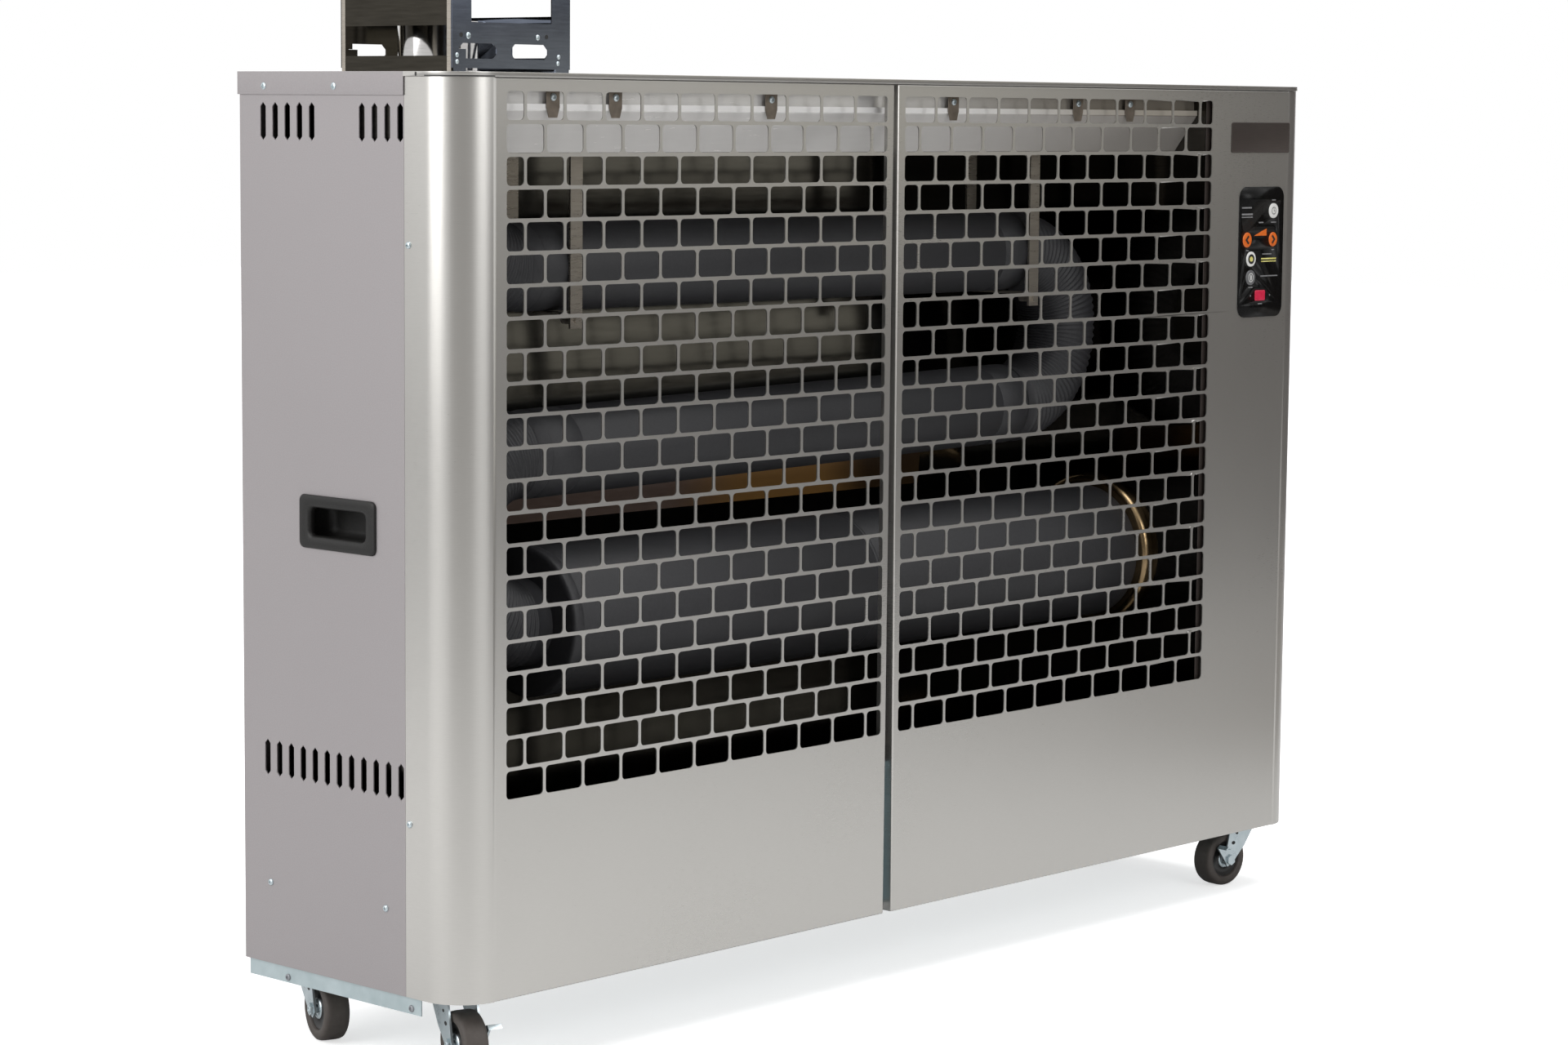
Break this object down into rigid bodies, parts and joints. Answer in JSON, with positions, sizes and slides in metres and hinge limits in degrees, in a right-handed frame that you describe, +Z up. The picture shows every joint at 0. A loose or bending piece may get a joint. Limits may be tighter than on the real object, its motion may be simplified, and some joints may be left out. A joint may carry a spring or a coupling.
{
  "type": "industrial space heater",
  "caption": "Wide free-standing infrared heater on swivel casters: folded tube heat exchanger before mirror sheets behind punched covers, with burner, fuel tank and guarded flue.",
  "frame": {"origin": "on the floor, under the middle of the cabinet", "axes": "+X to the right along the front as one faces it, -Y out of the punched front, +Z up"},
  "size_m": [1.3254, 0.313, 1.0865],
  "materials": {
    "brushed_stainless": "fine horizontal brushing, half matt",
    "satin_grey_panel": "satin",
    "galvanised_steel": "galvanised, half matt",
    "mirror_stainless": "mirror polished sheet",
    "tube_black": "matt heat-proof black",
    "heat_tinted_steel": "copper-tinted, polished",
    "black_plastic": "fine grain",
    "panel_black": "smooth, half gloss",
    "zinc_plated": "bright zinc",
    "tyre_rubber": "smooth grey-brown tread on a black hub",
    "red_button": "smooth",
    "orange_button": "smooth",
    "white_button": "smooth",
    "yellow_lamp": "smooth",
    "grey_button": "smooth",
    "cast_grey": "plain grey",
    "tank_plastic": "plain black",
    "copper_pipe": "plain copper"
  },
  "bodies": {
    "heater": {"front_cover_left": "brushed_stainless", "front_cover_right": "brushed_stainless", "lid": "brushed_stainless", "side_panel_left": "satin_grey_panel", "side_panel_right": "satin_grey_panel", "rear_panel": "satin_grey_panel", "base_pan": "galvanised_steel", "burner_tube": "galvanised_steel", "control_box": "galvanised_steel", "end_reflector": "mirror_stainless", "partition_plate": "mirror_stainless", "back_reflector": "mirror_stainless", "bottom_reflector": "mirror_stainless", "top_reflector": "mirror_stainless", "flue_stub": "mirror_stainless", "tube_hanger_left": "mirror_stainless", "tube_hanger_right": "mirror_stainless", "guard_front": "mirror_stainless", "guard_rear": "mirror_stainless", "guard_left": "mirror_stainless", "guard_right": "mirror_stainless", "guard_top": "mirror_stainless", "top_tube": "tube_black", "middle_tube": "tube_black", "combustion_tube": "tube_black", "bend_right": "tube_black", "bend_left": "tube_black", "flue_elbow": "tube_black", "burner_collar": "heat_tinted_steel", "handle_cup_left": "black_plastic", "handle_cup_right": "black_plastic", "power_inlet": "black_plastic", "control_panel": "panel_black", "signal_lamp": "yellow_lamp", "blower_housing": "cast_grey", "burner_motor": "cast_grey", "fuel_tank": "tank_plastic", "fuel_pump": "copper_pipe", "fuel_line": "copper_pipe", "caster_plate_front_left": "zinc_plated", "caster_plate_front_right": "zinc_plated", "caster_plate_rear_left": "zinc_plated", "caster_plate_rear_right": "zinc_plated"},
    "fork_front_left": {"caster_fork_front_left": "zinc_plated"},
    "wheel_front_left": {"wheel_front_left": "tyre_rubber"},
    "brake_front_left": {"brake_pedal_front_left": "zinc_plated"},
    "fork_front_right": {"caster_fork_front_right": "zinc_plated"},
    "wheel_front_right": {"wheel_front_right": "tyre_rubber"},
    "brake_front_right": {"brake_pedal_front_right": "zinc_plated"},
    "fork_rear_left": {"caster_fork_rear_left": "zinc_plated"},
    "wheel_rear_left": {"wheel_rear_left": "tyre_rubber"},
    "fork_rear_right": {"caster_fork_rear_right": "zinc_plated"},
    "wheel_rear_right": {"wheel_rear_right": "tyre_rubber"},
    "timer_button": {"timer_button": "white_button"},
    "heat_down_button": {"heat_down_button": "orange_button"},
    "heat_up_button": {"heat_up_button": "orange_button"},
    "mode_button": {"mode_button": "grey_button"},
    "power_button": {"power_button": "red_button"},
    "fan_wheel": {"fan_wheel": "cast_grey"},
    "filler_cap": {"filler_cap": "black_plastic"}
  },
  "joints": [
    {"name": "swivel_front_left", "type": "hinge", "parent": "heater", "child": "fork_front_left", "pos_m": [-0.615, -0.099, 0.075], "axis": [0, 0, 1], "continuous": true},
    {"name": "roll_front_left", "type": "hinge", "parent": "fork_front_left", "child": "wheel_front_left", "pos_m": [-0.62202, -0.11985, 0.0315], "axis": [0.9477, -0.3192, 0], "continuous": true},
    {"name": "brake_front_left", "type": "hinge", "parent": "fork_front_left", "child": "brake_front_left", "pos_m": [-0.62202, -0.11985, 0.0315], "axis": [0.9477, -0.3192, 0], "range_deg": [0, 25]},
    {"name": "swivel_front_right", "type": "hinge", "parent": "heater", "child": "fork_front_right", "pos_m": [0.615, -0.099, 0.075], "axis": [0, 0, 1], "continuous": true},
    {"name": "roll_front_right", "type": "hinge", "parent": "fork_front_right", "child": "wheel_front_right", "pos_m": [0.59318, -0.09618, 0.0315], "axis": [-0.1281, -0.9918, 0], "continuous": true},
    {"name": "brake_front_right", "type": "hinge", "parent": "fork_front_right", "child": "brake_front_right", "pos_m": [0.59318, -0.09618, 0.0315], "axis": [-0.1281, -0.9918, 0], "range_deg": [0, 25]},
    {"name": "swivel_rear_left", "type": "hinge", "parent": "heater", "child": "fork_rear_left", "pos_m": [-0.615, 0.099, 0.075], "axis": [0, 0, 1], "continuous": true},
    {"name": "roll_rear_left", "type": "hinge", "parent": "fork_rear_left", "child": "wheel_rear_left", "pos_m": [-0.62202, 0.07815, 0.0315], "axis": [0.9477, -0.3192, 0], "continuous": true},
    {"name": "swivel_rear_right", "type": "hinge", "parent": "heater", "child": "fork_rear_right", "pos_m": [0.615, 0.099, 0.075], "axis": [0, 0, 1], "continuous": true},
    {"name": "roll_rear_right", "type": "hinge", "parent": "fork_rear_right", "child": "wheel_rear_right", "pos_m": [0.59376, 0.10472, 0.0315], "axis": [-0.2599, -0.9656, 0], "continuous": true},
    {"name": "timer_button_press", "type": "slide", "parent": "heater", "child": "timer_button", "axis": [0, 1, 0], "range_m": [0, 0.0008], "stiffness_N_per_m": 800},
    {"name": "heat_down_button_press", "type": "slide", "parent": "heater", "child": "heat_down_button", "axis": [0, 1, 0], "range_m": [0, 0.0008], "stiffness_N_per_m": 800},
    {"name": "heat_up_button_press", "type": "slide", "parent": "heater", "child": "heat_up_button", "axis": [0, 1, 0], "range_m": [0, 0.0008], "stiffness_N_per_m": 800},
    {"name": "mode_button_press", "type": "slide", "parent": "heater", "child": "mode_button", "axis": [0, 1, 0], "range_m": [0, 0.0008], "stiffness_N_per_m": 800},
    {"name": "power_button_press", "type": "slide", "parent": "heater", "child": "power_button", "axis": [0, 1, 0], "range_m": [0, 0.0008], "stiffness_N_per_m": 800},
    {"name": "fan_spin", "type": "hinge", "parent": "heater", "child": "fan_wheel", "pos_m": [0.51, 0, 0.3995], "axis": [1, 0, 0], "continuous": true},
    {"name": "filler_cap_turn", "type": "hinge", "parent": "heater", "child": "filler_cap", "pos_m": [0.4, 0.1356, 0.1935], "axis": [0, 1, 0], "range_deg": [0, 90]}
  ]
}
